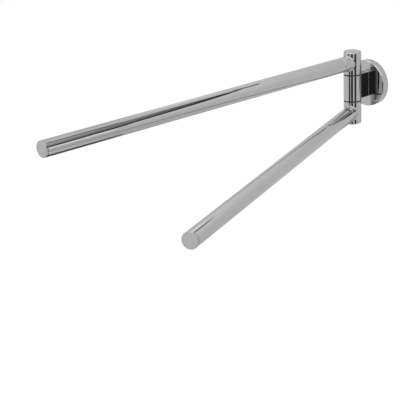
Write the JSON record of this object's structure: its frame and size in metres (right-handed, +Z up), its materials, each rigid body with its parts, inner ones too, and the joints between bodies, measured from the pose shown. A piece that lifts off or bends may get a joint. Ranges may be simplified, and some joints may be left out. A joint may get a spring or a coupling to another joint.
{
  "type": "swing arm towel bar",
  "caption": "Wall-mounted towel bar: a round rosette and a flat post carry a hinge column from which round chromed arms swing sideways to hold towels.",
  "frame": {"origin": "centre of the rosette's back, in the plane of the wall, halfway between the two wall screws", "axes": "+Z up along the hinge column, +Y into the wall, so the arms reach out along -Y; +X to the right for someone who faces the wall"},
  "size_m": [0.1897, 0.4375, 0.079],
  "materials": {
    "chrome_plate": "polished chrome plate on brass",
    "zinc_plate": "bright zinc plated steel plate",
    "screw_steel": "plain steel screws, slightly dark",
    "pin_steel": "ground stainless steel",
    "dark_acetal": "black acetal bearing plastic",
    "spring_steel": "hardened spring steel",
    "brass_insert": "turned brass",
    "black_rubber": "black nitrile rubber"
  },
  "bodies": {
    "bracket": {"wall_plate": "zinc_plate", "rosette": "chrome_plate", "rosette_screw": "screw_steel", "post_bar": "chrome_plate", "post_screw": "screw_steel", "barrel": "chrome_plate", "hinge_pin": "pin_steel", "upper_seam_washer": "dark_acetal", "lower_seam_washer": "dark_acetal"},
    "upper_arm": {"upper_hub": "chrome_plate", "upper_bush": "dark_acetal", "upper_disc_spring": "spring_steel", "upper_retaining_screw": "screw_steel", "upper_stud": "screw_steel", "upper_tube_insert": "brass_insert", "upper_tube": "chrome_plate", "upper_end_cap": "chrome_plate", "upper_cap_ring": "black_rubber"},
    "lower_arm": {"lower_hub": "chrome_plate", "lower_bush": "dark_acetal", "lower_disc_spring": "spring_steel", "lower_retaining_screw": "screw_steel", "lower_stud": "screw_steel", "lower_tube_insert": "brass_insert", "lower_tube": "chrome_plate", "lower_end_cap": "chrome_plate", "lower_cap_ring": "black_rubber"}
  },
  "joints": [
    {"name": "upper_swing", "type": "hinge", "parent": "bracket", "child": "upper_arm", "pos_m": [0, -0.0295, 0.02725], "axis": [0, 0, 1], "range_deg": [-90, 90]},
    {"name": "lower_swing", "type": "hinge", "parent": "bracket", "child": "lower_arm", "pos_m": [0, -0.0295, -0.02725], "axis": [0, 0, 1], "range_deg": [-112.7, 67.3]}
  ]
}
